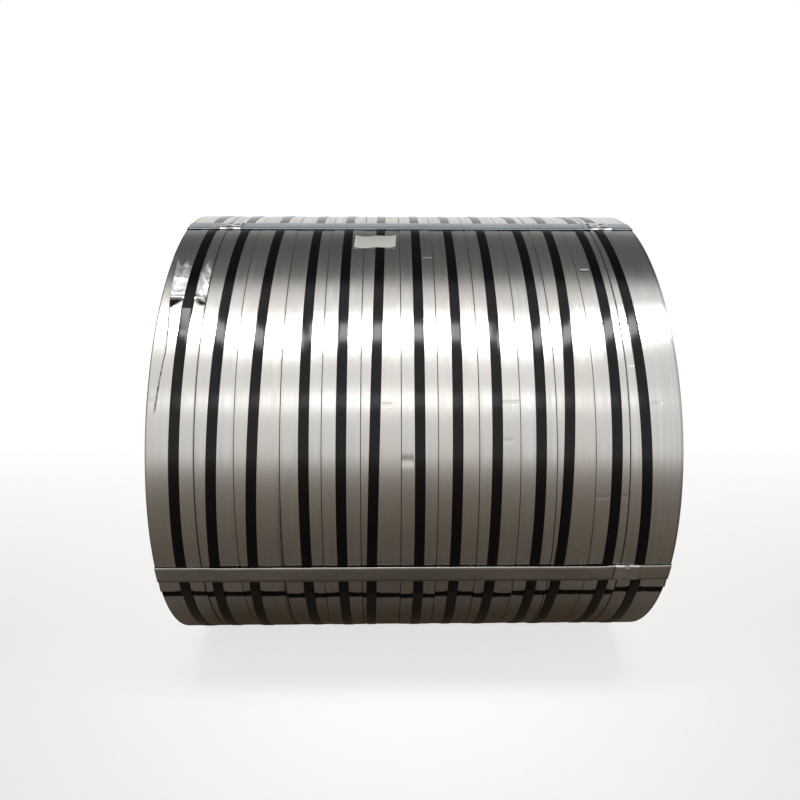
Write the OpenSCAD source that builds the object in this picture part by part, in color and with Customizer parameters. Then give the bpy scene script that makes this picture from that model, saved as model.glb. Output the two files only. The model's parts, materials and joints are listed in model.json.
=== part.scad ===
// Slit stainless steel coil: thirteen narrow strip coils side by side on one bore,
// each bound round its belly, and all tied together by three straps through the eye.
// Millimetres. The axis runs along X with its middle at the origin, +Z is up and the
// side with the label faces -Y. Angles are measured from -Y, upward over the top.

/* [Coil] */
// Width of the whole coil, across all its strips
coil_w = 1250; // [600:10:1600]
// Outer diameter of the widest strips
coil_d = 1240; // [900:10:1600]
// Inner diameter of the bore, the standard size of a coil mandrel
bore_d = 508; // [400:1:620]
// Gap between neighbouring strips
strip_gap = 1; // [0.5:0.5:5]
// How much smaller in radius every second strip is wound
strip_step = 0.6; // [0:0.1:0.8]
// Thickness of the strip, which is the step where its outer lap ends
lap_t = 1; // [0.5:0.1:1.5]
// Depth of the unevenness of the turns on the two ends
telescope = 1.5; // [0.5:0.5:5]
// Number of turned bands on each end
end_bands = 12; // [6:1:20]

/* [Strip widths] */
// Width of strip 1, at the left end. All widths are scaled together to fill the coil.
strip_01_w = 112; // [60:1:160]
// Width of strip 2
strip_02_w = 90; // [60:1:160]
// Width of strip 3
strip_03_w = 105; // [60:1:160]
// Width of strip 4
strip_04_w = 95; // [60:1:160]
// Width of strip 5
strip_05_w = 90; // [60:1:160]
// Width of strip 6
strip_06_w = 94; // [60:1:160]
// Width of strip 7
strip_07_w = 85; // [60:1:160]
// Width of strip 8
strip_08_w = 95; // [60:1:160]
// Width of strip 9
strip_09_w = 95; // [60:1:160]
// Width of strip 10
strip_10_w = 84; // [60:1:160]
// Width of strip 11
strip_11_w = 90; // [60:1:160]
// Width of strip 12
strip_12_w = 79; // [60:1:160]
// Width of strip 13, at the right end
strip_13_w = 124; // [60:1:160]

/* [Outer lap ends] */
// Angle at which the outer laps end at the two ends of the coil
tail_a = -24.5; // [-50:0.5:-24]
// How much lower the laps end in the middle of the coil, in degrees
tail_sag = 1.5; // [0:0.1:3]
// Scatter of that angle from strip to strip
tail_scatter = 0.4; // [0:0.1:0.8]
// Angle at which the outer lap of strip 1 ends
tail_1_a = 45; // [30:1:60]

/* [Belly straps] */
// Width of the strap round each strip
belly_w = 25; // [16:1:32]
// Thickness of the strap round each strip
belly_t = 0.9; // [0.6:0.1:1.2]
// Length of its seal
belly_seal_l = 45; // [30:1:60]
// Angle of the seals
belly_seal_a = 136; // [120:1:145]

/* [Eye straps] */
// Width of the straps through the bore
eye_w = 50; // [25:1:55]
// Thickness of the straps through the bore
eye_t = 0.9; // [0.6:0.1:1.2]
// Angle of the strap low on the front
eye_1_a = -19; // [-20:0.5:0]
// Angle of the strap near the top
eye_2_a = 76.5; // [76:0.5:95]
// Angle of the strap at the back
eye_3_a = 210; // [190:0.5:220]
// Length of an eye strap's seal
eye_seal_l = 60; // [50:1:80]

/* [Label] */
// Width of the label along the coil
label_w = 112; // [60:1:120]
// Height of the label round the coil
label_h = 66; // [40:1:90]
// Angle of the label's middle
label_a = 67; // [55:0.5:70]
// Distance of the label's middle from the middle of the belly strap under it
label_off = -0.5; // [-15:0.5:5]

/* [Hidden] */
slit_ws = [strip_01_w, strip_02_w, strip_03_w, strip_04_w, strip_05_w, strip_06_w, strip_07_w,
           strip_08_w, strip_09_w, strip_10_w, strip_11_w, strip_12_w, strip_13_w];
count = len(slit_ws);
strip_ws = slit_ws * ((coil_w - (count - 1) * strip_gap) / sum(slit_ws));
// Where each belly strap lies off the middle of its strip, as a share of the strip's width.
strap_shares = [0.08, -0.10, -0.145, 0.08, 0, -0.19, 0.01, -0.03, -0.08, 0.06, -0.065, 0.11, -0.17];
// How far each belly strap, which isn't quite square to the axis, lies to the right at its
// top and to the left at its bottom.
strap_leans = [6, 15, 20, 0, 0, 14, 0, 3, 4, 4, 17, 3, -15];
// How far it lies to the right at its front and to the left at its back.
strap_swings = [0, 0, 0, 0, 0, 0, 0, 0, 0, 0, -15, 0, 0];

coil_r = coil_d / 2;
bore_r = bore_d / 2;
// Free space between a strap and what it lies on, and between a seal and its strap.
slack = 0.1;
seal_t = 1.2;
// Free space beside a belly strap in its seal, which the slanted straps need.
seal_play = 0.8;
seal_tail = 18;
notch_r = 4;
label_t = 0.4;
// Strip whose strap the label is stuck over.
label_strip = 6;
// How far a cutting shape runs past what it cuts.
over = 1;
// Angle of the strap under each eye seal and the seal's place along the coil, as a share
// of the coil's width. The strap near the top is made of two lengths, so it has two seals.
seal_as = [eye_1_a, eye_2_a, eye_3_a, eye_2_a];
seal_shares = [0.414, 0.43, -0.40, -0.405];
$fn = 96;

function sum(v, n = -1, i = 0) = i >= (n < 0 ? len(v) : n) ? 0 : v[i] + sum(v, n, i + 1);
function two_digits(i) = i < 10 ? str("0", i) : str(i);

// Left side, radius and lap end of strip i, counted from 1, and its strap's middle and
// inner radius.
function strip_x(i) = -coil_w / 2 + sum(strip_ws, i - 1) + (i - 1) * strip_gap;
function strip_r(i) = coil_r - (i % 2 == 0 ? strip_step : 0);
function strip_tail(i) = i == 1 ? tail_1_a
    : tail_a - tail_sag * sin(180 * (i - 1) / (count - 1)) + tail_scatter * sin(140 * i + 60);
function strap_x(i) = strip_x(i) + strip_ws[i - 1] * (0.5 + strap_shares[i - 1]);
function strap_r(i) = strip_r(i) + slack;
// Where strap i's middle lies along the coil at angle a.
function strap_at(i, a) = strap_x(i) + strap_leans[i - 1] * sin(a) + strap_swings[i - 1] * cos(a);

// Radius of the underside of the eye straps and the label, just over the highest belly straps.
belt_r = coil_r + belly_t + 2 * slack;

// Turns what is drawn at the front (-Y) to angle a.
module at_angle(a) { rotate([-a, 0, 0]) children(); }

// Extrudes a section drawn in the YZ plane from x0 to x1.
module along(x0, x1) {
    translate([x0, 0, 0]) rotate([90, 0, 90]) linear_extrude(x1 - x0) children();
}

// Section of a wound strip: half a turn at radius r, which ends in a step at the tail
// angle, on a slightly smaller turn that meets it again at the back.
module wound(r, tail) {
    rotate(-tail) {
        translate([lap_t / 2, 0]) circle(r = r - lap_t / 2);
        intersection() {
            circle(r = r);
            translate([-2 * r, 0]) square([4 * r, 2 * r]);
        }
    }
}

// Piece of a shell at the front, between two radii, from x0 to x1 and z0 to z1.
module shell(r0, r1, x0, x1, z0, z1) {
    along(x0, x1) intersection() {
        difference() {
            circle(r = r1);
            circle(r = r0);
        }
        translate([-2 * r1, z0]) square([2 * r1, z1 - z0]);
    }
}

// One slit strip wound on the bore. The outer ends of the first and the last strip
// show their turns as bands that stand back by up to the telescope depth.
module strip(i) {
    x0 = strip_x(i);
    x1 = x0 + strip_ws[i - 1];
    band = (coil_r - bore_r) / (end_bands + 2);
    color("silver") difference() {
        along(x0, x1) difference() {
            wound(strip_r(i), strip_tail(i));
            circle(r = bore_r);
        }
        if (i == 1 || i == count)
            for (k = [1:end_bands]) {
                depth = telescope * (0.6 + 0.4 * sin(150 * k + 40 * i));
                r = bore_r + band * k;
                along(i == 1 ? x0 - over : x1 - depth, i == 1 ? x0 + depth : x1 + over) difference() {
                    circle(r = r + band);
                    circle(r = r);
                }
            }
    }
}

// Steel strap round one strip, with the free end of its overlap at the seal.
module belly_strap(i) {
    x = strap_x(i);
    r = strap_r(i);
    lean = strap_leans[i - 1];
    swing = strap_swings[i - 1];
    reach = belly_w / 2 + norm([lean, swing]) + over;
    color("black") intersection() {
        along(x - reach, x + reach) difference() {
            union() {
                circle(r = r + belly_t);
                rotate(-belly_seal_a) intersection() {
                    circle(r = r + 2 * belly_t);
                    translate([-2 * r, -belly_seal_l / 2]) square([2 * r, belly_seal_l + seal_tail]);
                }
            }
            circle(r = r);
        }
        translate([x, 0, 0]) rotate([0, atan(lean / r), atan(swing / r)])
            cube([belly_w, 2 * coil_d, 2 * coil_d], center = true);
    }
}

// Crimped sleeve on a belly strap: a plate with two side walls and two pairs of notches.
module belly_seal(i) {
    x = strap_at(i, belly_seal_a);
    r = strap_r(i);
    top = r + 2 * belly_t + slack;
    hw = belly_w / 2 + seal_play;
    hl = belly_seal_l / 2;
    color("dimgray") at_angle(belly_seal_a) difference() {
        shell(r, top + seal_t, x - hw - seal_t, x + hw + seal_t, -hl, hl);
        shell(r - over, top, x - hw, x + hw, -hl - over, hl + over);
        for (sx = [-1, 1], sz = [-1, 1])
            translate([x + sx * (hw + seal_t), 0, sz * hl / 2]) rotate([90, 0, 0])
                cylinder(r = notch_r, h = coil_d);
    }
}

// Steel strap through the bore and over the outside, with an overlap at each seal.
module eye_strap(a) {
    r = belt_r;
    in_r = bore_r - slack;
    hx = coil_w / 2 + slack;
    color("silver") at_angle(a) {
        intersection() {
            rotate([0, 90, 0]) rotate_extrude() difference() {
                eye_outline(in_r - eye_t, r + eye_t, hx + eye_t);
                translate([in_r, -hx]) square([r - in_r, 2 * hx]);
            }
            translate([-coil_w, -coil_d, -eye_w / 2]) cube([2 * coil_w, coil_d, eye_w]);
        }
        for (k = [0:3])
            if (seal_as[k] == a) {
                x0 = seal_shares[k] * coil_w - eye_seal_l / 2;
                shell(r + eye_t / 2, r + 2 * eye_t, x0 - seal_tail, x0 + eye_seal_l, -eye_w / 2, eye_w / 2);
            }
    }
}

// Outline of the loop's outside, with its corners rounded to the strap's thickness.
module eye_outline(r0, r1, hx) {
    translate([r0 + eye_t, -hx]) square([r1 - r0 - 2 * eye_t, 2 * hx]);
    translate([r0, -hx + eye_t]) square([r1 - r0, 2 * (hx - eye_t)]);
    for (r = [r0 + eye_t, r1 - eye_t], x = [-hx + eye_t, hx - eye_t])
        translate([r, x]) circle(r = eye_t);
}

// Crimped sleeve on an eye strap, which lies on the belly straps like the strap itself.
// It is notched once on each side, in its middle.
module eye_seal(k) {
    seal_x = seal_shares[k] * coil_w;
    top = belt_r + 2 * eye_t + slack;
    hw = eye_w / 2 + slack;
    hl = eye_seal_l / 2;
    color("silver") at_angle(seal_as[k]) difference() {
        shell(belt_r + slack, top + seal_t, seal_x - hl, seal_x + hl, -hw - seal_t, hw + seal_t);
        shell(belt_r - over, top, seal_x - hl - over, seal_x + hl + over, -hw, hw);
        for (sz = [-1, 1])
            translate([seal_x, 0, sz * (hw + seal_t)]) rotate([90, 0, 0])
                cylinder(r = notch_r, h = coil_d);
    }
}

// Blank paper label, stuck over a belly strap.
module label() {
    x = strap_x(label_strip) + label_off;
    color("ivory") at_angle(label_a)
        shell(belt_r, belt_r + label_t, x - label_w / 2, x + label_w / 2, -label_h / 2, label_h / 2);
}

for (i = [1:count]) {
    strip(i);
    belly_strap(i);
    belly_seal(i);
}
for (k = [0:2]) eye_strap(seal_as[k]);
for (k = [0:3]) eye_seal(k);
label();
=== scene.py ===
"""Looks of a slit stainless steel coil: wound strips, strapping, seals, label and studio.

Metres, with the coil's axis along X, the front at -Y and +Z up. Angles round the coil are
in degrees from the front, upward over the top, and in radians inside the functions.
"""

import json
import math
from collections import namedtuple

import bmesh
import bpy
import numpy as np
from bpy.props import FloatProperty, FloatVectorProperty, PointerProperty
from mathutils import Matrix, Vector


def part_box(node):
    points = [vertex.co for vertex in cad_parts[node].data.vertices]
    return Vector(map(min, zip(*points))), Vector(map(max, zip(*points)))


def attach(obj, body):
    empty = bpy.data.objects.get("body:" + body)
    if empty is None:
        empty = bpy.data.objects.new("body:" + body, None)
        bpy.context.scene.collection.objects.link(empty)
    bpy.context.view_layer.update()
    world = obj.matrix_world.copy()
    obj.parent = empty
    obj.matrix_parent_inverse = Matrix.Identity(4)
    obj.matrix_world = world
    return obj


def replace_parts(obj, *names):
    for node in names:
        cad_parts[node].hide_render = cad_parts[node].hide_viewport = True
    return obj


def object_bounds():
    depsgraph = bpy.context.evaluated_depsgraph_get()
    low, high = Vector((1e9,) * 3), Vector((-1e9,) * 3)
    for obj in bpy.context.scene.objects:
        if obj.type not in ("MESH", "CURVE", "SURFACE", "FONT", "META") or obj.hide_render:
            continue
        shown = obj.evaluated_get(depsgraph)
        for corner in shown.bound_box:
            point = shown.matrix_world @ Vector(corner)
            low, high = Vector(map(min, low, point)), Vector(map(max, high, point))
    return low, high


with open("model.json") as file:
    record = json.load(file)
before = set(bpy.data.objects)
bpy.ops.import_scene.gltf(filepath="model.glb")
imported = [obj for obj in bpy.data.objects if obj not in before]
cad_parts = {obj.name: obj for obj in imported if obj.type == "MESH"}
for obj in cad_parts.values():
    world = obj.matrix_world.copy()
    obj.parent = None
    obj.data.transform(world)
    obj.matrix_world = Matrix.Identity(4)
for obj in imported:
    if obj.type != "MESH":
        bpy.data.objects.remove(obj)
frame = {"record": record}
CAD_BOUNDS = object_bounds()

bl_info = {
    "name": "Slit steel coil",
    "version": (1, 0, 0),
    "blender": (4, 5, 0),
    "location": "View3D > Sidebar > Coil",
    "description": "Builds the fine surfaces, materials and studio of a slit steel coil",
    "category": "Object",
}

UV = "Sheet"

# How far each belly strap lies to the right at its top, and how far at its front.
STRAP_LEANS = (0.006, 0.015, 0.020, 0, 0, 0.014, 0, 0.003, 0.004, 0.004, 0.017, 0.003, -0.015)
STRAP_SWINGS = (0, 0, 0, 0, 0, 0, 0, 0, 0, 0, -0.015, 0, 0)
EYE_STRAP_ANGLES = (-19.0, 76.5, 210.0)
# The eye strap that each eye seal is crimped on.
EYE_SEAL_STRAPS = (1, 2, 3, 2)
LABEL_ANGLE = 67.0

COUNT = len(STRAP_LEANS)
# Half the coil's width, and the radius of its bore.
HALF = round(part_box(f"strip_{COUNT:02d}")[1].x, 6)
BORE = frame["record"]["mounts"][0]["dims"]["r_mm"] / 1000
# Radius of the eye straps' underside, which lies over the belly straps.
BELT_RADIUS = 0.6211
# Half the width of a belly strap, the thickness of all the strapping, and the seals' wall.
STRAP_HALF = 0.0125
STRAP_THICK = 0.0009
SLEEVE_WALL = 0.0012
EYE_STRAP_WIDTH = 0.05
# Half the label's width along the coil, and half its height round it.
LABEL_HALF = (0.056, 0.033)
# Air that a piece keeps to the one under it.
PLAY = 0.0001
# Rounding of a strip's edges.
EDGE = 0.0006

# Colours of the marks on the steel, of the shade painted on it and of the label's border.
# Painted shade: dark colour under the sprung lap ends, in the torn lap's gaps and crack and along strip 3's
# right edge; it also darkens strip 1's left edge.
PAINTED_DARK = (0.012, 0.009, 0.007)
BROWN_RIM = (0.11, 0.07, 0.05)
TURN_DARK, TURN_PALE = (0.12, 0.09, 0.07), (0.5, 0.47, 0.43)
SCUFFED = (0.9, 0.9, 0.88)
PAPER_BORDER = (0.88, 0.88, 0.86)

# Places, aims and sizes of the lamps. The key lamp is set up three times, side by side.
KEY_AT, KEY_AIM, KEY_SIZE = (0.72, -1.011, 1.344), (0.42, -0.495, 0.373), (0.7, 0.22)
LOW_AT, LOW_AIM, LOW_SIZE = (0.0, -3.826, 1.778), (0.0, -0.574, 0.234), (3.8, 0.45)
LAMP_SPREAD = 60.0

# A short furrow across a strip, from x0 to x1 off the coil's left end, at an angle and with
# a reach in degrees.
Crease = namedtuple("Crease", "strip x0 x1 angle reach depth")
CREASES = (
    Crease(strip=6, x0=0.546, x1=0.570, angle=21.5, reach=0.3, depth=0.0004),
    Crease(strip=7, x0=0.590, x1=0.621, angle=9.4, reach=1.0, depth=0.0010),
    Crease(strip=7, x0=0.649, x1=0.677, angle=59.7, reach=0.3, depth=0.0008),
    Crease(strip=9, x0=0.827, x1=0.855, angle=13.6, reach=0.5, depth=0.0006),
    Crease(strip=9, x0=0.829, x1=0.869, angle=21.9, reach=0.3, depth=0.0004),
    Crease(strip=12, x0=1.048, x1=1.080, angle=1.1, reach=0.4, depth=0.0004),
    Crease(strip=12, x0=1.108, x1=1.125, angle=1.2, reach=0.4, depth=0.0004),
    Crease(strip=12, x0=1.078, x1=1.125, angle=40.0, reach=0.3, depth=0.0007),
    Crease(strip=12, x0=1.056, x1=1.080, angle=55.4, reach=0.3, depth=0.0007),
    Crease(strip=13, x0=1.128, x1=1.198, angle=40.0, reach=0.3, depth=0.0007),
    Crease(strip=13, x0=1.128, x1=1.150, angle=30.0, reach=0.3, depth=0.0005),
    Crease(strip=13, x0=1.182, x1=1.203, angle=21.6, reach=0.3, depth=0.0004),
)


class CoilStripSettings(bpy.types.PropertyGroup):
    """Shape and finish of the wound strips."""

    lap: FloatProperty(
        name="Lap", description="Thickness of the strip", default=0.001, unit="LENGTH"
    )
    tail: FloatProperty(
        name="Tail", description="Degrees at which the outer laps end at the coil's ends", default=-24.5
    )
    tail_sag: FloatProperty(
        name="Tail sag", description="How many degrees lower they end in the middle", default=1.5
    )
    tail_scatter: FloatProperty(
        name="Tail scatter", description="Scatter of that angle, in degrees", default=0.4
    )
    tail_lift: FloatProperty(
        name="Tail lift", description="How far a lap's end springs out", default=0.0035, unit="LENGTH"
    )
    tail_reach: FloatProperty(
        name="Tail reach", description="Degrees over which a lap's end springs out", default=3.2
    )
    # Reach of the shade painted below the laps' ends.
    shade_reach: FloatProperty(
        name="Shadowing reach", description="Degrees of dark oil below the laps' ends", default=2.6
    )
    tear: FloatProperty(
        name="Tear", description="Degrees at which the lap of the first strip is torn", default=46.5
    )
    tear_lift: FloatProperty(
        name="Tear lift", description="Height of the buckled lap", default=0.0045, unit="LENGTH"
    )
    wave: FloatProperty(
        name="Wave", description="Height of the waves in the outer lap", default=0.00016, unit="LENGTH"
    )
    telescope: FloatProperty(
        name="Telescope", description="Unevenness of the turns on the ends", default=0.0015, unit="LENGTH"
    )
    color: FloatVectorProperty(
        name="Colour", description="Bare steel", subtype="COLOR", size=3, default=(0.62, 0.61, 0.59)
    )
    roughness: FloatProperty(
        name="Roughness", description="Of the rolled surface", default=0.22, min=0.0, max=1.0
    )


class CoilStrapSettings(bpy.types.PropertyGroup):
    """Shape and finish of the strapping, the seals and the label."""

    belly_color: FloatVectorProperty(
        name="Belly strap",
        description="Black painted strapping",
        subtype="COLOR",
        size=3,
        default=(0.002, 0.0018, 0.0018),
    )
    belly_roughness: FloatProperty(
        name="Belly roughness", description="Of the black paint", default=0.13, min=0.0, max=1.0
    )
    eye_color: FloatVectorProperty(
        name="Eye strap", description="Bare strapping", subtype="COLOR", size=3, default=(0.58, 0.57, 0.53)
    )
    # The top strap's bluish colour is a painted reflection of the sky.
    top_sky_tint: FloatVectorProperty(
        name="Top strap",
        description="Sky-reflection-painted strapping near the top",
        subtype="COLOR",
        size=3,
        default=(0.5, 0.55, 0.59),
    )
    eye_roughness: FloatProperty(
        name="Eye roughness", description="Of the bare strapping", default=0.32, min=0.0, max=1.0
    )
    belly_seal_color: FloatVectorProperty(
        name="Belly seal", description="Dull dark seal", subtype="COLOR", size=3, default=(0.16, 0.16, 0.17)
    )
    eye_seal_color: FloatVectorProperty(
        name="Eye seal", description="Bright bare seal", subtype="COLOR", size=3, default=(0.66, 0.66, 0.64)
    )
    paper: FloatVectorProperty(
        name="Label", description="Paper of the label", subtype="COLOR", size=3, default=(0.82, 0.82, 0.74)
    )


class CoilStageSettings(bpy.types.PropertyGroup):
    """Camera, lamps, world and floor."""

    camera_place: FloatVectorProperty(
        name="Camera",
        description="Place of the camera",
        size=3,
        default=(-0.0659, -2.1163, 0.7703),
        subtype="XYZ",
    )
    camera_yaw: FloatProperty(name="Yaw", description="Degrees to the right", default=1.046)
    camera_pitch: FloatProperty(name="Pitch", description="Degrees up", default=-10.888)
    camera_roll: FloatProperty(name="Roll", description="Degrees", default=0.233)
    lens: FloatProperty(name="Lens", description="Focal length in millimetres", default=31.165)
    shift: FloatProperty(name="Shift", description="Vertical shift of the lens", default=-0.125)
    key: FloatProperty(
        name="Key", description="Power of each lamp above the front", default=0.75, unit="POWER"
    )
    low: FloatProperty(
        name="Low", description="Power of the lamp behind the camera", default=1.1, unit="POWER"
    )
    fill: FloatProperty(name="Fill", description="Strength of the world's even light", default=0.15)
    hall: FloatProperty(name="Hall", description="Strength of the front as metal mirrors it", default=1.0)
    hall_top: FloatProperty(
        name="Hall top", description="Degrees up at which the bright front ends", default=87.0
    )
    overhead: FloatProperty(
        name="Overhead", description="Strength overhead as metal mirrors it", default=0.13
    )
    floor_lift: FloatProperty(
        name="Floor lift", description="White that the camera sees on the floor at the coil", default=0.7
    )
    floor_color: FloatVectorProperty(
        name="Floor", description="Pale floor", subtype="COLOR", size=3, default=(0.68, 0.67, 0.65)
    )
    glow_color: FloatVectorProperty(
        name="Floor glow",
        description="Warm light off the floor as metal mirrors it",
        subtype="COLOR",
        size=3,
        default=(0.07, 0.045, 0.02),
    )


def capped(points):
    """Closes a tube of sections at both ends: in the first and the last section each point
    moves halfway to its partner across the wall, which is the same number from the end."""
    points = points.copy()
    for row in (0, -1):
        points[row] = (points[row] + points[row][::-1]) / 2
    return points


def sheet_uv(along, across):
    """UV in metres: across in u and along in v, for a grid with along as its rows."""
    v, u = np.meshgrid(along, across, indexing="ij")
    return np.stack([u, v], -1)


def build_object(name, grids, material):
    """One mesh object from surface grids, which rides on the coil's body.

    A grid is (points, uv, closed_u, closed_v, attributes). Points are rows by columns by 3,
    uv has one more row or column where the grid is closed, and each attribute is rows by
    columns. Neighbouring points are joined by four-sided faces.
    """
    points, faces, uvs, attributes, base = [], [], [], {}, 0
    for grid, uv, closed_u, closed_v, values in grids:
        rows, cols = grid.shape[:2]
        last_row, last_col = (rows if closed_u else rows - 1), (cols if closed_v else cols - 1)
        i, j = np.meshgrid(np.arange(last_row), np.arange(last_col), indexing="ij")
        i2, j2 = i + 1, j + 1
        corner = [(i, j), (i2, j), (i2, j2), (i, j2)]
        index = [base + (a % rows) * cols + (b % cols) for a, b in corner]
        faces.append(np.stack(index, -1).reshape(-1, 4))
        uvs.append(np.stack([uv[a, b] for a, b in corner], -2).reshape(-1, 2))
        points.append(grid.reshape(-1, 3))
        for key, value in values.items():
            attributes.setdefault(key, []).append(np.broadcast_to(value, (rows, cols)).reshape(-1))
        base += rows * cols
    points, faces, uvs = np.concatenate(points), np.concatenate(faces), np.concatenate(uvs)
    mesh = bpy.data.meshes.new(name)
    mesh.vertices.add(len(points))
    mesh.vertices.foreach_set("co", points.astype(np.float32).ravel())
    mesh.loops.add(faces.size)
    mesh.loops.foreach_set("vertex_index", faces.astype(np.int32).ravel())
    mesh.polygons.add(len(faces))
    mesh.polygons.foreach_set("loop_start", np.arange(0, faces.size, 4, dtype=np.int32))
    mesh.polygons.foreach_set("use_smooth", np.ones(len(faces), bool))
    mesh.uv_layers.new(name=UV).data.foreach_set("uv", uvs.astype(np.float32).ravel())
    for key, value in attributes.items():
        mask = mesh.attributes.new(key, "FLOAT", "POINT")
        mask.data.foreach_set("value", np.concatenate(value).astype(np.float32))
    mesh.update(calc_edges=True)
    welded = bmesh.new()
    welded.from_mesh(mesh)
    bmesh.ops.remove_doubles(welded, verts=welded.verts, dist=1e-6)
    bmesh.ops.recalc_face_normals(welded, faces=welded.faces)
    welded.to_mesh(mesh)
    welded.free()
    obj = bpy.data.objects.new(name, mesh)
    bpy.context.scene.collection.objects.link(obj)
    mesh.materials.append(material)
    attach(obj, "root")
    return obj


def smooth(low, high, value):
    """0 below low, 1 above high and a smooth step between."""
    t = np.clip((value - low) / (high - low), 0, 1)
    return t * t * (3 - 2 * t)


def ripple(angle, seed, waves, falloff=0.5):
    """Sum of sines round the coil, between about -1 and 1, with phases drawn from the seed.

    Each count in waves is the number of waves per turn, weighted by its inverse power.
    """
    rng = np.random.default_rng(seed)
    total, weight = np.zeros(np.shape(angle)), 0.0
    for k in waves:
        w = k**-falloff
        total = total + w * np.sin(k * angle + rng.uniform(0, math.tau))
        weight += w
    return total / weight


def place(x, radius, angle):
    """Points at x, at that radius from the axis and at that angle from the front over the top."""
    x, radius, angle = np.broadcast_arrays(x, radius, angle)
    return np.stack([x, -radius * np.cos(angle), radius * np.sin(angle)], -1)


def node_span(node):
    """Lowest x, highest x and outer radius of a CAD node that is turned about the axis."""
    low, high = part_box(node)
    return low.x, high.x, high.z


def strip_tail(i, s):
    """Angle at which the outer lap of strip i ends, in radians."""
    sag = s.tail_sag * math.sin(math.pi * (i - 1) / (COUNT - 1))
    return math.radians(s.tail - sag + s.tail_scatter * math.sin(math.radians(140 * i + 60)))


def strap_middle(i, angle):
    """Where the middle of belly strap i lies along the coil at each angle.

    The strap lies in a plane that isn't quite square to the axis, so its middle sways by
    the lean times the sine of the angle and the swing times its cosine.
    """
    low, high, _ = node_span(f"belly_strap_{i:02d}")
    sway = STRAP_LEANS[i - 1] * np.sin(angle) + STRAP_SWINGS[i - 1] * np.cos(angle)
    return (low + high) / 2 + sway


def lap_radius(i, angle, radius, s):
    """Radius of the wound lap: it loses one strip's thickness over a full turn from its end."""
    turn = np.mod(angle - strip_tail(i, s), math.tau)
    return radius - s.lap * turn / math.tau


def lap_angles(i, s):
    """Angles of a strip's rows: one every degree, with finer rows at its lap's end, its
    creases and, on strip 1, its tear."""
    tail = math.degrees(strip_tail(i, s))
    windows = [(tail - 4, tail + 5, 0.25)] + ([(20, 62, 0.25)] if i == 1 else [])
    windows += [(c.angle - 3 * c.reach, c.angle + 3 * c.reach, c.reach / 3) for c in CREASES if c.strip == i]
    rows = np.arange(-90.0, 270.0, 1.0)
    for low, high, step in windows:
        rows = np.concatenate([rows[(rows < low) | (rows > high)], np.arange(low, high, step)])
    rows = np.concatenate([rows, [tail - 0.02, tail + 0.02]])
    return np.radians(np.unique(np.round(rows, 4)))


def free_of_strap(i, x, angle):
    """0 under the belly strap and 1 well away from it."""
    return smooth(STRAP_HALF * 0.9, STRAP_HALF * 2.2, np.abs(x - strap_middle(i, angle)))


def band(low, high, edge, value):
    """1 between low and high, with a smooth step of that width inside each side."""
    return smooth(low, low + edge, value) * (1 - smooth(high - edge, high, value))


def torn_side(degree):
    """Distance from the coil's left end of the ragged line where strip 1's side is torn:
    straight pieces between a few angles, with a fine ripple."""
    turned = [19, 23, 27, 33, 37, 44, 46.5, 50, 53.5, 58, 62]
    off_end = [0.0185, 0.023, 0.0265, 0.033, 0.032, 0.026, 0.0225, 0.0195, 0.02, 0.016, 0.013]
    line = np.interp(degree, turned, off_end)
    return line + 0.0012 * ripple(np.radians(degree), 7, range(60, 400, 45), 0.2)


def torn_lap(x, degree, free, s):
    """Rise of strip 1's torn lap, the shade painted in its gaps and crack, and how scuffed it is.

    Over the tear the lap is buckled. It stands highest well above the torn edge, falls
    towards it in slanting folds, which are sharpened sines of three widths, and lifts
    again at its lip. Farther up it fades into the sound lap along a wavy line. Under the
    edge a wedge opens on each side of the strap, with painted shade in it. Left of the
    ragged line the lap is gone, and the line itself is a crack of painted shade with a
    bell-shaped section.
    """
    edge = s.tear - 1.3 * smooth(0.085, 0.117, x)
    over = degree - edge
    kept = smooth(-0.0004, 0.0004, x - torn_side(degree))
    fade = over + 1.6 * np.sin(95 * x + 1.0) + 1.1 * np.sin(230 * x)
    lap = kept * smooth(-0.12, 0.12, over) * (1 - smooth(6.5, 12.5, fade))
    fold = 1 - np.abs(np.sin(0.735 * over + 46 * x + 0.8 * np.sin(70 * x)))
    cross = 1 - np.abs(np.sin(0.33 * over - 88 * x + 1.2))
    fine = 1 - np.abs(np.sin(1.9 * over + 130 * x + 1.5 * np.sin(210 * x)))
    rise = s.tear_lift * (smooth(0, 9, over) + 0.6 * (1 - smooth(0, 1.6, over)))
    rise = rise + 0.0022 * fold * fold + 0.0013 * cross + 0.0004 * fine
    rise = lap * rise * (0.2 + 0.8 * free)
    left = 2.7 * np.clip((0.056 - x) / 0.034, 0, 1)
    right = band(0.082, 0.116, 0.015, x)
    opening = np.where(x < 0.07, left, right)
    closed = smooth(opening - 0.15, opening + 0.1, -over)
    # Painted shade in the opening wedge under the torn edge, which also sinks the surface.
    gap = kept * smooth(-0.1, 0.1, -over) * (1 - closed) * (opening > 0.12)
    broken = smooth(-0.15, 0.35, ripple(np.radians(degree), 9, range(50, 500, 37), 0.1))
    # Painted shade along the ragged crack.
    crack = np.minimum(1.5 * np.exp(-(((x - torn_side(degree)) / 0.0018) ** 2)), 1)
    crack = crack * band(19.5, 47.5, 1, degree) * (0.6 + 0.4 * broken)
    gone = (1 - kept) * band(22, 60, 1, degree)
    scuff = lap * smooth(0.3, 1.5, over) * (0.45 + 0.55 * fold)
    return rise - 0.004 * gap - 0.0008 * gone, np.maximum(gap, crack), scuff


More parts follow.
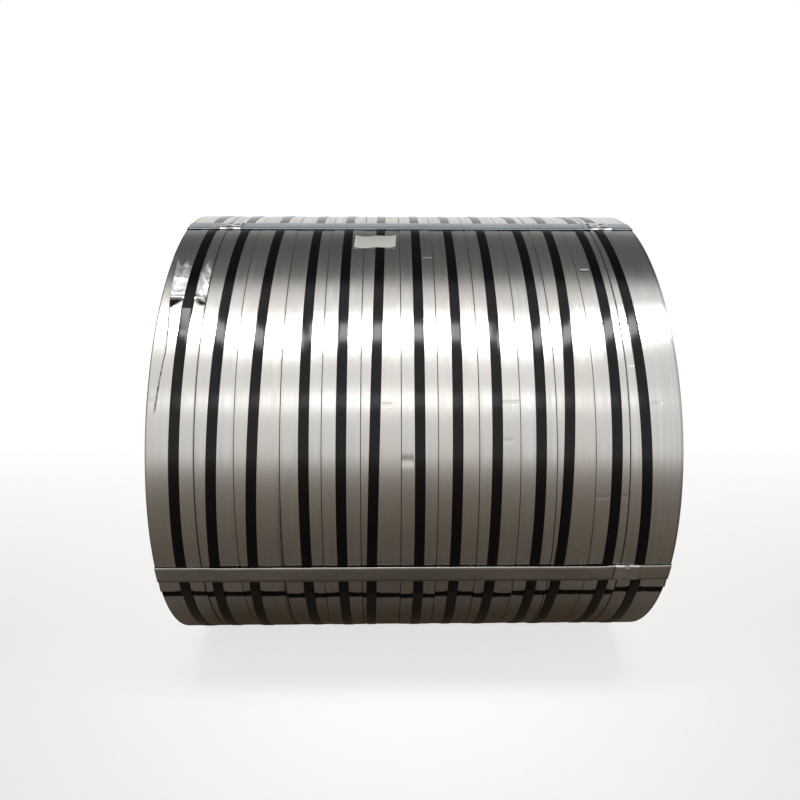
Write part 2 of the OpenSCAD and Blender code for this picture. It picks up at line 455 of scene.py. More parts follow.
def outer_surface(i, x, angle, s):
    """Radius of strip i's outside, how dark it is and how scuffed, at each angle and x.

    The wound radius, plus the sprung end of the lap, which rises in a straight ramp to
    the lap's end, plus long waves, a slight dish and the creases, which are short
    furrows with a bell-shaped section. Shade is painted on the turn below the sprung
    lap's end. Shade is also painted along the right edge of strip 3, and the left edge of
    strip 1 is painted darker, each for a part of the way round.
    """
    x0, x1, radius = node_span(f"strip_{i:02d}")
    a, xx = np.meshgrid(angle, x, indexing="ij")
    across = (xx - x0) / (x1 - x0)
    degree = np.degrees(a)
    end = math.degrees(strip_tail(i, s))
    turn = np.mod(degree - end, 360)
    free = free_of_strap(i, xx, a)
    sprung = np.clip(1 - turn / s.tail_reach, 0, 1)
    r = lap_radius(i, a, radius, s) + s.tail_lift * sprung * (0.35 + 0.65 * free)
    wave = ripple(a + 0.4 * xx, i, range(3, 19, 3))
    wave += 0.6 * (across - 0.5) * ripple(a, i + 50, range(2, 30, 4))
    r += s.wave * wave
    r -= 0.00012 * (2 * across - 1) ** 4
    # Painted shade below the sprung lap's end, with a ragged lower edge.
    shade_end = end - s.shade_reach - 0.35 * ripple(xx * 30, i + 90, range(1, 9))
    dark = smooth(shade_end - 0.25, shade_end + 0.25, degree) * (1 - smooth(end - 0.05, end + 0.05, degree))
    scuff = np.zeros_like(r)
    for c in CREASES:
        if c.strip == i:
            window = band(c.x0 - HALF, c.x1 - HALF, 0.0015, xx)
            r -= c.depth * window * np.exp(-(((degree - c.angle) / c.reach) ** 2))
    if i == 1:
        rise, gaps, scuff = torn_lap(xx + HALF, degree, free, s)
        r += rise
        # Strip 1's left edge painted darker for a part of the way round.
        dark_edge = 0.9 * np.exp(-(((xx - x0) / 0.0022) ** 2)) * smooth(5, 25, degree)
        dark = np.maximum(np.maximum(dark, dark_edge), gaps)
    elif i == 3:
        # Painted shade along strip 3's right edge for a part of the way round.
        dark_edge = 0.6 * np.exp(-(((x1 - xx) / 0.006) ** 2)) * (1 - smooth(-4, 14, degree))
        dark = np.maximum(dark, dark_edge)
    return r, dark, scuff


def end_face(i, side, x, radius, s):
    """X and radius of a section's points up an end face, from the bore to the outside.

    On the coil's two ends each band of turns stands back by its own depth, with a finer
    unevenness inside the bands; the faces between strips are plain. Two points along the
    bore close to its edge keep the bore's shading flat.
    """
    if (i, side) not in ((1, -1), (COUNT, 1)):
        return x - side * np.array([0.002, 0.001, 0]), BORE + np.array([0, 0, 0.001])
    bands = 12
    width = (radius - BORE) / (bands + 2)
    r = np.linspace(BORE + 0.001, radius - 0.003, 70)
    k = np.floor((r - BORE) / width + 1e-6)
    depth = s.telescope * (0.6 + 0.4 * np.sin(np.radians(150 * k + 40 * i))) * ((k >= 1) & (k <= bands))
    rng = np.random.default_rng(i)
    depth = depth + np.where((k >= 1) & (k <= bands), rng.uniform(0, 0.0004, r.size), 0)
    return x - side * np.concatenate([[0.002, 0.001], depth]), np.concatenate([[BORE, BORE], r])


def strip_grid(i, s):
    """Section of strip i swung round the axis: up the left face, over the outside, down the
    right face and back along the bore. UV is in metres along the coil and round it."""
    x0, x1, radius = node_span(f"strip_{i:02d}")
    angle = lap_angles(i, s)
    columns = np.linspace(x0 + 2 * EDGE, x1 - 2 * EDGE, 40 if i == 1 else 16)
    columns = np.concatenate([[x0 + EDGE], columns, [x1 - EDGE]])
    if i == 1:
        columns = np.unique(np.concatenate([columns, np.arange(0.012, 0.037, 0.0008) - HALF]))
    for c in CREASES:
        if c.strip == i:
            sides = [c.x0 - HALF + d for d in (0, 0.0015)] + [c.x1 - HALF - d for d in (0, 0.0015)]
            columns = np.unique(np.concatenate([columns, [v for v in sides if x0 + EDGE < v < x1 - EDGE]]))
    xo = np.concatenate([[x0, x0 + EDGE * 0.3], columns, [x1 - EDGE * 0.3, x1]])
    ro, dark, scuff = outer_surface(i, xo, angle, s)
    ro = ro - EDGE * np.concatenate([[1, 0.3], np.zeros(len(columns)), [0.3, 1]])
    xa, ra = end_face(i, -1, x0, radius, s)
    xb, rb = end_face(i, 1, x1, radius, s)
    x = np.concatenate([xa, xo, xb[::-1]])
    rows, face_a, face_b = np.ones((len(angle), 1)), np.zeros(len(xa)), np.zeros(len(xb))
    r = np.concatenate([rows * ra, ro, rows * rb[::-1]], 1)
    near = 0.0016 if i in (1, COUNT) else 0.0008
    rim = near / 0.0016 * np.exp(-((np.minimum(xo - x0, x1 - xo) / near) ** 2))
    values = {
        "dark": np.concatenate([rows * face_a, dark, rows * face_b], 1),
        "scuff": np.concatenate([rows * face_a, scuff, rows * face_b], 1),
        "side": np.concatenate([face_a + 1, np.zeros(len(xo)), face_b + 1]),
        "rim": np.concatenate([face_a, rim, face_b]),
        "tone": (i * 0.618) % 1,
    }
    uv = sheet_uv(np.append(angle, angle[0] + math.tau) * radius, np.append(x, x[0]))
    return place(x, r, angle[:, None]), uv, True, True, values


class COIL_OT_strips(bpy.types.Operator):
    """Wind the thirteen strips with their lap ends, the torn lap and the uneven ends"""

    bl_idname = "coil.strips"
    bl_label = "Strips"

    def execute(self, context):
        s = context.scene.coil_strips
        material = strip_material(s)
        for i in range(1, COUNT + 1):
            node = f"strip_{i:02d}"
            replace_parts(build_object(f"wound_{node}", [strip_grid(i, s)], material), node)
        return {"FINISHED"}


def belly_radius(i, angle, s):
    """Radius of a belly strap's underside: the lap's, with a straight bridge where the lap
    ends, which is the tangent from the raised end down to the turn below. Above the end
    the rise dies away as the lap's does."""
    _, _, radius = node_span(f"strip_{i:02d}")
    r = lap_radius(i, angle, radius, s) + PLAY
    ends = [(strip_tail(i, s), s.lap + s.tail_lift * 0.35)]
    if i == 1:
        ends.append((math.radians(s.tear - 3), s.tear_lift * 1.2))
    for end, step in ends:
        low = radius - s.lap * 0.5
        reach = math.acos(low / (low + step))
        under = end - angle
        bridge = low / np.cos(np.clip(reach - under, -1, 1))
        over = low + step * np.exp(-np.clip(-under, 0, None) / math.radians(12))
        r = np.where((under >= 0) & (under < reach), np.maximum(r, bridge), r)
        r = np.where((under < 0) & (under > -0.5), np.maximum(r, over), r)
    return r


def belly_grid(i, s):
    """Rounded flat section of a belly strap swung round its strip, with a slight sway. UV is
    in metres and starts elsewhere on each strap, so that their grain differs."""
    angle = lap_angles(i, s)
    r = belly_radius(i, angle, s)[:, None]
    xs = np.array([-1, -0.985, -0.93, -0.4, 0, 0.4, 0.93, 0.985, 1, 0.98, -0.98]) * STRAP_HALF
    rs = np.array([0.5, 0.85, 1, 1, 1, 1, 1, 0.85, 0.5, 0, 0]) * STRAP_THICK
    middle = strap_middle(i, angle) + 0.001 * ripple(angle, i + 70, range(1, 7))
    points = place(middle[:, None] + xs, r + rs, angle[:, None])
    start = 0.1 * i
    uv = sheet_uv(np.append(angle, angle[0] + math.tau) * r[0, 0], np.append(xs, xs[0]) + start)
    return points, uv, True, True, {}


class COIL_OT_belly_straps(bpy.types.Operator):
    """Lay a black strap round each strip"""

    bl_idname = "coil.belly_straps"
    bl_label = "Belly straps"

    def execute(self, context):
        material = belly_material(context.scene.coil_straps)
        for i in range(1, COUNT + 1):
            node = f"belly_strap_{i:02d}"
            grid = belly_grid(i, context.scene.coil_strips)
            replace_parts(build_object(f"laid_{node}", [grid], material), node)
        return {"FINISHED"}


def crimped_sleeve(width, height, bevel, length, crimps, seed):
    """Folded metal sleeve: its points across, out and along, and its u and v.

    The section is a flat top with two sloping sides, inside and out. At each crimp a bell
    curve pulls the sides in and presses the top down, and small sines leave it dented.
    """
    foot = width + SLEEVE_WALL
    slope = ((0, 0), (0.1, 0.4), (0.5, 0.82), (1, 1))
    side = [(foot - a * bevel, b * height) for a, b in slope]
    top = [((foot - bevel) * k, height) for k in np.linspace(0.88, -0.88, 17)]
    outer = np.array(side + top + [(-a, b) for a, b in side[::-1]])
    inner = np.stack([outer[:, 0] * width / foot, np.maximum(outer[:, 1] - SLEEVE_WALL, 0)], 1)
    section = np.concatenate([outer, inner[::-1]])
    along = np.linspace(-length / 2, length / 2, 61)
    crimp = sum(np.exp(-(((along - k * length) / 0.005) ** 2)) for k in crimps)[:, None]
    u, v = section[:, 0][None, :], section[:, 1][None, :]
    pull = smooth(0.6, 1.0, np.abs(u) / width)
    rng = np.random.default_rng(seed)
    dents = 0.0004 * np.sin(260 * u + rng.uniform(0, 6)) * np.sin(150 * along[:, None] + rng.uniform(0, 6))
    out = v * (1 - crimp * (0.25 + 0.35 * pull)) + (v > height * 0.5) * dents
    return u - np.sign(u) * crimp * 0.0045 * pull, out, along[:, None] + 0 * u, section[:, 0], along


def belly_seal_grid(i):
    """Sleeve with two crimps on belly strap i, wrapped to the coil's curve."""
    low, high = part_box(f"belly_seal_{i:02d}")
    width = (high.x - low.x) / 2 - SLEEVE_WALL
    across, out, along, u, v = crimped_sleeve(width, 0.0031, 0.0015, 0.045, (-0.25, 0.25), i)
    middle = math.atan2((low.z + high.z) / 2, -(low.y + high.y) / 2)
    radius = node_span(f"strip_{i:02d}")[2] + PLAY
    points = place((low.x + high.x) / 2 + across, radius + out, middle + along / radius)
    return capped(points), sheet_uv(v, np.append(u, u[0])), False, True, {}


def eye_seal_grid(k):
    """Sleeve with one crimp on an eye strap, which runs along the coil and slopes at both
    sides."""
    low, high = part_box(f"eye_seal_{k}")
    width = EYE_STRAP_WIDTH / 2 + PLAY
    across, out, along, u, v = crimped_sleeve(width, 0.0052, 0.008, high.x - low.x, (0.0,), 30 + k)
    angle = math.radians(EYE_STRAP_ANGLES[EYE_SEAL_STRAPS[k - 1] - 1])
    points = place((low.x + high.x) / 2 + along, BELT_RADIUS + out, angle + across / BELT_RADIUS)
    return capped(points), sheet_uv(v, np.append(u, u[0])), False, True, {}


def eye_loop(radius, inner, half):
    """Path of an eye strap's underside as x, radius and the outward direction in both: round
    each corner of a rectangle in a small arc, and straight on to the next, down the end,
    along the bore, up the other end and over the outside."""
    corners = ((half, radius, 90), (half, inner, 0), (-half, inner, -90), (-half, radius, -180))
    bend = 0.0004
    x, r, turn = [], [], []
    for k, (cx, cr, start) in enumerate(corners):
        q = np.radians(np.linspace(start, start - 90, 6))
        nx, nr, _ = corners[(k + 1) % 4]
        steps = np.linspace(0, 1, 242 if abs(nx - cx) > 0.5 else 40)[1:-1]
        x += [cx + bend * np.cos(q), cx + bend * math.cos(q[-1]) + (nx - cx) * steps]
        r += [cr + bend * np.sin(q), cr + bend * math.sin(q[-1]) + (nr - cr) * steps]
        turn += [q, np.full(len(steps), q[-1])]
    return np.concatenate(x), np.concatenate(r), np.concatenate(turn)


def eye_strap_grids(k):
    """Flat bare strap through the bore and over the outside, with slight waves and an edge
    that wanders, and the free length of its overlap at each seal.

    The strap low on the front stands a little off the coil between its ends, most at its
    upper edge.
    """
    angle = math.radians(EYE_STRAP_ANGLES[k - 1])
    x, r, turn = eye_loop(BELT_RADIUS, BORE - PLAY, HALF + PLAY)
    share = np.array([-1, -0.99, -0.6, -0.2, 0.2, 0.6, 0.99, 1])
    across = np.concatenate([share, share[::-1]]) * EYE_STRAP_WIDTH / 2
    rise = np.concatenate([[0.35, 1, 1, 1, 1, 1, 1, 0.35], np.zeros(8)]) * STRAP_THICK
    outside = smooth(0.58, 0.6, r) * (1 - smooth(0.6, 0.62, np.abs(x)))
    wave = outside * (0.0003 + 0.0004 * ripple(x * 9, k, range(1, 14), 0.3))
    sway = outside * 0.0012 * ripple(x * 2, k + 5, range(1, 6))
    lift = rise + wave[:, None]
    if k == 1:
        off = outside * smooth(-0.53, -0.45, x) * (1 - smooth(0.44, 0.5, x))
        lift = lift + off[:, None] * (0.0012 + 0.0006 * (0.5 + across / EYE_STRAP_WIDTH))
    px = x[:, None] + lift * np.cos(turn)[:, None]
    pr = r[:, None] + lift * np.sin(turn)[:, None]
    points = place(px, pr, angle + (across + sway[:, None]) / np.abs(pr))
    length = np.append(0, np.cumsum(np.hypot(np.diff(x), np.diff(r))))
    around = np.append(across, across[0])
    grids = [(points, sheet_uv(np.append(length, length[-1]), around), True, True, {})]
    for seal, strap in enumerate(EYE_SEAL_STRAPS, 1):
        if strap == k:
            low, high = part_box(f"eye_seal_{seal}")
            xs = np.linspace(low.x - 0.018, high.x + 0.012, 24)
            under = BELT_RADIUS + STRAP_THICK + PLAY + 0.0008 * np.exp(-(xs - xs[0]) / 0.006)
            flap = place(xs[:, None], under[:, None] + rise, angle + across / BELT_RADIUS)
            grids.append((capped(flap), sheet_uv(xs, around), False, True, {}))
    return grids


def label_grid():
    """Blank paper over a belly strap. It rests on the strap and falls to the strip on both
    sides in a smooth step, with a slight skew, waves and lifted corners."""
    low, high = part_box("label")
    angle = math.radians(LABEL_ANGLE)
    radius = node_span("strip_06")[2]
    half_x, half_h = LABEL_HALF
    x = np.linspace(low.x, high.x, 60)[:, None]
    h = np.linspace(-half_h, half_h, 24)
    h = np.concatenate([h, h[::-1]])
    mid = (low.x + high.x) / 2
    corner = np.abs(x - mid) / (high.x - low.x) * 2 * np.abs(h) / half_h
    tent = 1 - smooth(STRAP_HALF, STRAP_HALF + 0.022, np.abs(x - strap_middle(6, angle)))
    out = 0.0005 + 0.0012 * tent + 0.003 * smooth(0.7, 1.0, corner)
    out = out + 0.0003 * np.sin(90 * x + 60 * h) * (1 - tent)
    thick = np.concatenate([np.ones(24), np.zeros(24)]) * 0.0003
    skew = 0.0016 * (x - mid) / half_x + 0.001 * np.sin(110 * x)
    up = h * (0.97 + 0.05 * skew / half_h) + skew
    points = place(x + 0.04 * h, radius + out + thick, angle + up / radius)
    border = np.maximum(smooth(0.8, 0.95, np.abs(x - mid) / half_x), smooth(0.75, 0.9, h / half_h))
    return capped(points), sheet_uv(x[:, 0], np.append(h, h[0])), False, True, {"border": border}


class COIL_OT_belly_seals(bpy.types.Operator):
    """Crimp a seal on each belly strap"""

    bl_idname = "coil.belly_seals"
    bl_label = "Belly seals"

    def execute(self, context):
        material = metal_material("Dull seal", context.scene.coil_straps.belly_seal_color, 0.4)
        for i in range(1, COUNT + 1):
            node = f"belly_seal_{i:02d}"
            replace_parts(build_object(f"crimped_{node}", [belly_seal_grid(i)], material), node)
        return {"FINISHED"}


class COIL_OT_eye_straps(bpy.types.Operator):
    """Lead the straps through the eye and crimp their seals"""

    bl_idname = "coil.eye_straps"
    bl_label = "Eye straps and seals"

    def execute(self, context):
        s = context.scene.coil_straps
        bare = metal_material("Bare strapping", s.eye_color, s.eye_roughness)
        # The top strap gets a bluish copy of the bare strapping: a painted reflection of the sky.
        sky_tinted = metal_material("Sky-reflection-painted strapping", s.top_sky_tint, s.eye_roughness)
        for k in range(1, len(EYE_STRAP_ANGLES) + 1):
            node = f"eye_strap_{k}"
            material = sky_tinted if k == 2 else bare
            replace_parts(build_object(f"looped_{node}", eye_strap_grids(k), material), node)
        material = metal_material("Bare seal", s.eye_seal_color, 0.24)
        for k in range(1, len(EYE_SEAL_STRAPS) + 1):
            node = f"eye_seal_{k}"
            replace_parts(build_object(f"crimped_{node}", [eye_seal_grid(k)], material), node)
        return {"FINISHED"}


class COIL_OT_label(bpy.types.Operator):
    """Stick the blank label over its strap"""

    bl_idname = "coil.label"
    bl_label = "Label"

    def execute(self, context):
        material = paper_material(context.scene.coil_straps)
        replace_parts(build_object("stuck_label", [label_grid()], material), "label")
        return {"FINISHED"}


def new_material(name):
    """A material with only its Principled shader and output, its tree and its shader."""
    material = bpy.data.materials.new(name)
    material.use_nodes = True
    tree = material.node_tree
    return material, tree, tree.nodes["Principled BSDF"]


def add(tree, kind, inputs=None, **settings):
    """A node with its settings, and inputs given as values or as sockets to link."""
    node = tree.nodes.new(kind)
    for key, value in settings.items():
        setattr(node, key, value)
    for key, value in (inputs or {}).items():
        if isinstance(value, bpy.types.NodeSocket):
            tree.links.new(value, node.inputs[key])
        else:
            node.inputs[key].default_value = value
    return node


def calculate(tree, operation, first, second=0.0, third=0.0):
    """Result of one math node on sockets or numbers."""
    return add(tree, "ShaderNodeMath", {0: first, 1: second, 2: third}, operation=operation).outputs[0]


def ramp(tree, value, low, high, bottom=0.0, top=1.0):
    """Maps a value from low..high to bottom..top, clamped. Low may be above high."""
    ends = {"From Min": low, "From Max": high, "To Min": bottom, "To Max": top}
    return add(tree, "ShaderNodeMapRange", {"Value": value, **ends}).outputs["Result"]


def mix_color(tree, factor, first, second):
    """First colour where factor is 0 and second where it is 1."""
    colors = [c if isinstance(c, bpy.types.NodeSocket) else (*c, 1.0) for c in (first, second)]
    inputs = {"Factor": factor, 6: colors[0], 7: colors[1]}
    return add(tree, "ShaderNodeMix", inputs, data_type="RGBA").outputs[2]


def new_group(name, inputs, outputs):
    """An empty shader group with its sockets, its input and its output."""
    tree = bpy.data.node_groups.new(name, "ShaderNodeTree")
    for label, kind in inputs:
        tree.interface.new_socket(label, in_out="INPUT", socket_type=kind)
    for label, kind in outputs:
        tree.interface.new_socket(label, in_out="OUTPUT", socket_type=kind)
    return tree, tree.nodes.new("NodeGroupInput"), tree.nodes.new("NodeGroupOutput")


def stretched_noise(tree, coordinate, stretch, scale, detail, roughness=0.5):
    """Noise on a sheet's UV, drawn out along the turn by the stretch."""
    drawn = add(
        tree, "ShaderNodeVectorMath", {0: coordinate, 1: (1.0, stretch, 1.0)}, operation="MULTIPLY"
    )
    look = {"Vector": drawn.outputs[0], "Scale": scale, "Detail": detail, "Roughness": roughness}
    return add(tree, "ShaderNodeTexNoise", look).outputs["Fac"]


def grain_group():
    """Rolled grain: fine lines and wider streaks that run round the coil, and broad patches."""
    if "Rolled grain" in bpy.data.node_groups:
        return bpy.data.node_groups["Rolled grain"]
    names = ("Line", "Patch", "Streak")
    tree, source, target = new_group(
        "Rolled grain", [("Coordinate", "NodeSocketVector")], [(name, "NodeSocketFloat") for name in names]
    )
    looks = ((0.012, 420.0, 4.0, 0.7), (0.25, 22.0, 3.0, 0.5), (0.02, 70.0, 4.0, 0.6))
    for name, look in zip(names, looks):
        fac = stretched_noise(tree, source.outputs["Coordinate"], *look)
        tree.links.new(fac, target.inputs[name])
    return tree


def turns_group():
    """Edges of the turns on an end face: uneven rings at the distance from the axis."""
    if "Turn edges" in bpy.data.node_groups:
        return bpy.data.node_groups["Turn edges"]
    tree, source, target = new_group(
        "Turn edges", [("Coordinate", "NodeSocketVector")], [("Ring", "NodeSocketFloat")]
    )
    split = add(tree, "ShaderNodeSeparateXYZ", {0: source.outputs["Coordinate"]})
    flat = add(tree, "ShaderNodeCombineXYZ", {"Y": split.outputs["Y"], "Z": split.outputs["Z"]})
    radius = add(tree, "ShaderNodeVectorMath", {0: flat.outputs[0]}, operation="LENGTH")
    look = {"W": radius.outputs["Value"], "Scale": 260.0, "Detail": 5.0, "Roughness": 0.75}
    ring = add(tree, "ShaderNodeTexNoise", look, noise_dimensions="1D")
    tree.links.new(ring.outputs["Fac"], target.inputs["Ring"])
    return tree


def grain_of(tree):
    """The rolled grain on a piece's own UV."""
    uv = add(tree, "ShaderNodeUVMap", uv_map=UV).outputs["UV"]
    return add(tree, "ShaderNodeGroup", {"Coordinate": uv}, node_tree=grain_group()).outputs


def strip_material(s):
    """Bare rolled steel: streaks along the turn, a tone for each strip, painted shade below
    the lap ends, in the torn lap and along strip 3's right edge, a darker left edge on
    strip 1, brown rims, uneven turns on the end faces and pale scuffed folds."""
    material, tree, shader = new_material("Rolled steel")
    grain = grain_of(tree)
    spot = add(tree, "ShaderNodeTexCoord").outputs["Object"]
    rings = add(tree, "ShaderNodeGroup", {"Coordinate": spot}, node_tree=turns_group())
    masks = {
        name: add(tree, "ShaderNodeAttribute", attribute_name=name).outputs["Fac"]
        for name in ("dark", "side", "rim", "scuff", "tone")
    }
    steel = tuple(s.color)
    streaked = [c * 0.86 for c in steel]
    toned = [c * v for c, v in zip(steel, (0.93, 0.9, 0.87))]
    color = mix_color(tree, ramp(tree, grain["Streak"], 0.35, 0.65), streaked, steel)
    color = mix_color(tree, ramp(tree, masks["tone"], 0, 1), color, toned)
    color = mix_color(tree, calculate(tree, "MULTIPLY", masks["rim"], 0.85), color, BROWN_RIM)
    turns = mix_color(tree, ramp(tree, rings.outputs["Ring"], 0.35, 0.65), TURN_DARK, TURN_PALE)
    color = mix_color(tree, masks["side"], color, turns)
    color = mix_color(tree, calculate(tree, "MULTIPLY", masks["scuff"], 0.8), color, SCUFFED)
    # Painted shade from the dark mask: below the lap ends, in the torn lap's gaps and crack and along strip
    # 3's right edge; it also darkens strip 1's left edge.
    color = mix_color(tree, masks["dark"], color, PAINTED_DARK)
    tree.links.new(color, shader.inputs["Base Color"])
    shader.inputs["Metallic"].default_value = 1.0
    rough = ramp(tree, grain["Streak"], 0.3, 0.7, s.roughness + 0.05, s.roughness - 0.04)
    for mask, more in (("side", 0.25), ("dark", 0.3), ("scuff", 0.26), ("tone", 0.03)):
        rough = calculate(tree, "MULTIPLY_ADD", masks[mask], more, rough)
    tree.links.new(rough, shader.inputs["Roughness"])
    height = calculate(tree, "MULTIPLY_ADD", grain["Patch"], 2.0, grain["Line"])
    bump = add(tree, "ShaderNodeBump", {"Height": height, "Strength": 0.12, "Distance": 0.0004})
    tree.links.new(bump.outputs[0], shader.inputs["Normal"])
    return material


def belly_material(s):
    """Black glossy strapping paint with fine lengthwise lines."""
    material, tree, shader = new_material("Black strapping")
    shader.inputs["Base Color"].default_value = (*s.belly_color, 1.0)
    shader.inputs["Specular IOR Level"].default_value = 0.26
    low, high = s.belly_roughness - 0.04, s.belly_roughness + 0.06
    tree.links.new(ramp(tree, grain_of(tree)["Line"], 0.2, 0.8, low, high), shader.inputs["Roughness"])
    return material


def metal_material(name, color, roughness):
    """Bare metal of one colour, with patches in its tone and fine lines in its gloss."""
    material, tree, shader = new_material(name)
    grain = grain_of(tree)
    darker = [c * 0.8 for c in color]
    tone = mix_color(tree, ramp(tree, grain["Patch"], 0.35, 0.65), darker, tuple(color))
    tree.links.new(tone, shader.inputs["Base Color"])
    shader.inputs["Metallic"].default_value = 1.0
    rough = ramp(tree, grain["Line"], 0.2, 0.8, roughness - 0.05, roughness + 0.08)
    tree.links.new(rough, shader.inputs["Roughness"])
    return material


def paper_material(s):
    """Matte blank paper with a whiter border."""
    material, tree, shader = new_material("Label paper")
    border = add(tree, "ShaderNodeAttribute", attribute_name="border").outputs["Fac"]
    tree.links.new(mix_color(tree, border, tuple(s.paper), PAPER_BORDER), shader.inputs["Base Color"])
    shader.inputs["Roughness"].default_value = 0.7
    return material


def ray_masks(tree):
    """1 for camera rays, and 1 for glossy and transmission rays."""
    path = add(tree, "ShaderNodeLightPath").outputs
    mirrored = calculate(tree, "MAXIMUM", path["Is Glossy Ray"], path["Is Transmission Ray"])
    return path["Is Camera Ray"], mirrored


def floor_material(s):
    """Pale floor, which keeps the coil's shadow.

    The camera sees white added to it, fully from the coil's back on and far away. Mirrored
    rays see it run out to white with distance and behind the coil, with painted shade close
    to the coil, and with a warm glow.
    """
    material, tree, shader = new_material("Pale floor")
    shader.inputs["Roughness"].default_value = 0.9
    shader.inputs["Specular IOR Level"].default_value = 0.1
    spot = add(tree, "ShaderNodeSeparateXYZ", {0: add(tree, "ShaderNodeTexCoord").outputs["Object"]})
    flat = add(tree, "ShaderNodeCombineXYZ", {"X": spot.outputs["X"], "Y": spot.outputs["Y"]})
    away = add(tree, "ShaderNodeVectorMath", {0: flat.outputs[0]}, operation="LENGTH").outputs["Value"]
    behind = spot.outputs["Y"]
    camera, mirrored = ray_masks(tree)
    near = calculate(tree, "MAXIMUM", ramp(tree, behind, -0.2, 2.0), ramp(tree, away, 2.2, 7.0))
    near = ramp(tree, near, 0.0, 1.0, s.floor_lift, 1.0)
    around = calculate(tree, "MAXIMUM", ramp(tree, away, 1.5, 15.0), ramp(tree, behind, 0.4, 1.4))
    # Painted shade close to the coil, which only mirrored rays see.
    shade = calculate(tree, "MULTIPLY", mirrored, ramp(tree, away, 1.5, 0.7, 0.0, 0.77))
    color = mix_color(tree, shade, tuple(s.floor_color), (0.0, 0.0, 0.0))
    tree.links.new(color, shader.inputs["Base Color"])
    strength = calculate(tree, "MULTIPLY", camera, near)
    strength = calculate(tree, "MULTIPLY_ADD", mirrored, around, strength)
    white = add(tree, "ShaderNodeEmission", {"Color": (1.0, 1.0, 1.0, 1.0), "Strength": strength})
    strength = calculate(tree, "MULTIPLY", mirrored, ramp(tree, away, 0.6, 1.5, 0.5, 1.0))
    glow = add(tree, "ShaderNodeEmission", {"Color": (*s.glow_color, 1.0), "Strength": strength})
    lit = add(tree, "ShaderNodeAddShader", {0: white.outputs[0], 1: glow.outputs[0]})
    both = add(tree, "ShaderNodeAddShader", {0: shader.outputs[0], 1: lit.outputs[0]})
    tree.links.new(both.outputs[0], tree.nodes["Material Output"].inputs["Surface"])
    return material


def build_world(s):
    """White for the camera. Mirrored rays see white at the horizon, a bright uneven front
    and a dim overhead and back. The rest is an even fill."""
    world = bpy.data.worlds.new("Studio")
    world.use_nodes = True
    bpy.context.scene.world = world
    tree = world.node_tree
    direction = add(tree, "ShaderNodeTexCoord").outputs["Generated"]
    way = add(tree, "ShaderNodeSeparateXYZ", {0: direction}).outputs
    camera, mirrored = ray_masks(tree)
    front = calculate(tree, "ARCTAN2", way["Z"], calculate(tree, "MULTIPLY", way["Y"], -1.0))
    hall = ramp(tree, front, math.radians(s.hall_top), math.radians(s.hall_top + 9), s.hall, s.overhead)
    blur = add(tree, "ShaderNodeTexNoise", {"Vector": direction, "Scale": 4.0, "Detail": 2.0})
    hall = calculate(tree, "MULTIPLY", hall, ramp(tree, blur.outputs["Fac"], 0.35, 0.65, 0.85, 1.25))
    horizon = ramp(tree, way["Z"], 0.66, 0.5)
    gloss = add(tree, "ShaderNodeMix", {0: horizon, 2: hall, 3: 1.0}).outputs[0]
    level = add(tree, "ShaderNodeMix", {0: mirrored, 2: s.fill, 3: gloss}).outputs[0]
    level = add(tree, "ShaderNodeMix", {0: camera, 2: level, 3: 1.0}).outputs[0]
    background = tree.nodes["Background"]
    background.inputs["Color"].default_value = (1.0, 1.0, 1.0, 1.0)
    tree.links.new(level, background.inputs["Strength"])


def add_lamp(name, at, aim, size, power):
    """A rectangular lamp at a place, which faces the aim and doesn't show to the camera."""
    data = bpy.data.lights.new(name, "AREA")
    data.shape = "RECTANGLE"
    data.size, data.size_y = size
    data.energy = power
    data.spread = math.radians(LAMP_SPREAD)
    lamp = bpy.data.objects.new(name, data)
    lamp.visible_camera = False
    lamp.location = at
    lamp.rotation_euler = (Vector(at) - Vector(aim)).to_track_quat("Z", "Y").to_euler()
    bpy.context.scene.collection.objects.link(lamp)
    return lamp


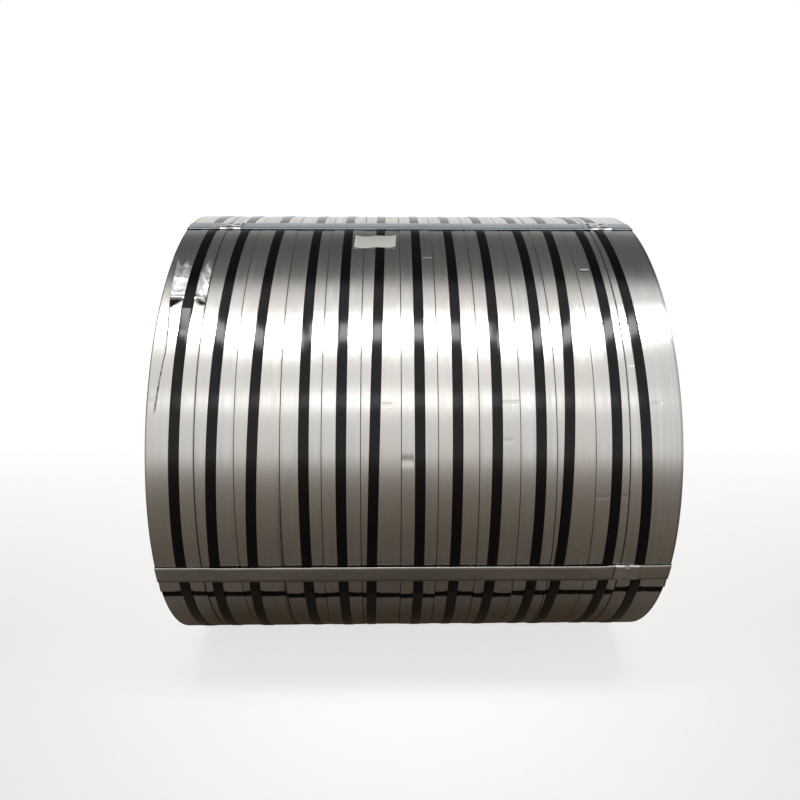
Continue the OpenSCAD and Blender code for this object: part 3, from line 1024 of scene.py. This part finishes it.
class COIL_OT_stage(bpy.types.Operator):
    """Set the floor, the lamps, the world and the camera"""

    bl_idname = "coil.stage"
    bl_label = "Stage"

    def execute(self, context):
        s = context.scene.coil_stage
        bpy.ops.mesh.primitive_plane_add(size=60.0, location=(0, 0, 0))
        floor = context.active_object
        floor.name = "floor"
        floor.data.transform(Matrix.Translation((0, 0, CAD_BOUNDS[0].z)))
        floor.data.materials.append(floor_material(s))
        for k, side in enumerate((-1, 0, 1), 1):
            at, aim = (KEY_AT[0] * side, *KEY_AT[1:]), (KEY_AIM[0] * side, *KEY_AIM[1:])
            add_lamp(f"key_lamp_{k}", at, aim, KEY_SIZE, s.key)
        add_lamp("low_lamp", LOW_AT, LOW_AIM, LOW_SIZE, s.low)
        build_world(s)
        camera = bpy.data.objects.new("camera", bpy.data.cameras.new("camera"))
        camera.data.sensor_width = 36.0
        camera.data.lens = s.lens
        camera.data.shift_y = s.shift
        turn = (
            Matrix.Rotation(math.radians(-s.camera_yaw), 4, "Z")
            @ Matrix.Rotation(math.radians(90 + s.camera_pitch), 4, "X")
            @ Matrix.Rotation(math.radians(s.camera_roll), 4, "Z")
        )
        camera.matrix_world = Matrix.Translation(s.camera_place) @ turn
        context.scene.collection.objects.link(camera)
        context.scene.camera = camera
        context.scene.view_settings.view_transform = "Standard"
        return {"FINISHED"}


class COIL_PT_panel(bpy.types.Panel):
    """Buttons that build the coil, piece by piece"""

    bl_idname = "COIL_PT_panel"
    bl_label = "Coil"
    bl_space_type = "VIEW_3D"
    bl_region_type = "UI"
    bl_category = "Coil"

    def draw(self, context):
        for operator in OPERATORS:
            self.layout.operator(operator.bl_idname)


OPERATORS = (
    COIL_OT_strips,
    COIL_OT_belly_straps,
    COIL_OT_belly_seals,
    COIL_OT_eye_straps,
    COIL_OT_label,
    COIL_OT_stage,
)
GROUPS = {"coil_strips": CoilStripSettings, "coil_straps": CoilStrapSettings, "coil_stage": CoilStageSettings}


def register():
    for group in GROUPS.values():
        bpy.utils.register_class(group)
    for name, group in GROUPS.items():
        setattr(bpy.types.Scene, name, PointerProperty(type=group))
    for operator in (*OPERATORS, COIL_PT_panel):
        bpy.utils.register_class(operator)


def unregister():
    for operator in reversed((*OPERATORS, COIL_PT_panel)):
        bpy.utils.unregister_class(operator)
    for name, group in reversed(GROUPS.items()):
        delattr(bpy.types.Scene, name)
        bpy.utils.unregister_class(group)


def main():
    """Builds everything."""
    register()
    bpy.ops.coil.strips()
    bpy.ops.coil.belly_straps()
    bpy.ops.coil.belly_seals()
    bpy.ops.coil.eye_straps()
    bpy.ops.coil.label()
    bpy.ops.coil.stage()


if __name__ == "__main__":
    main()
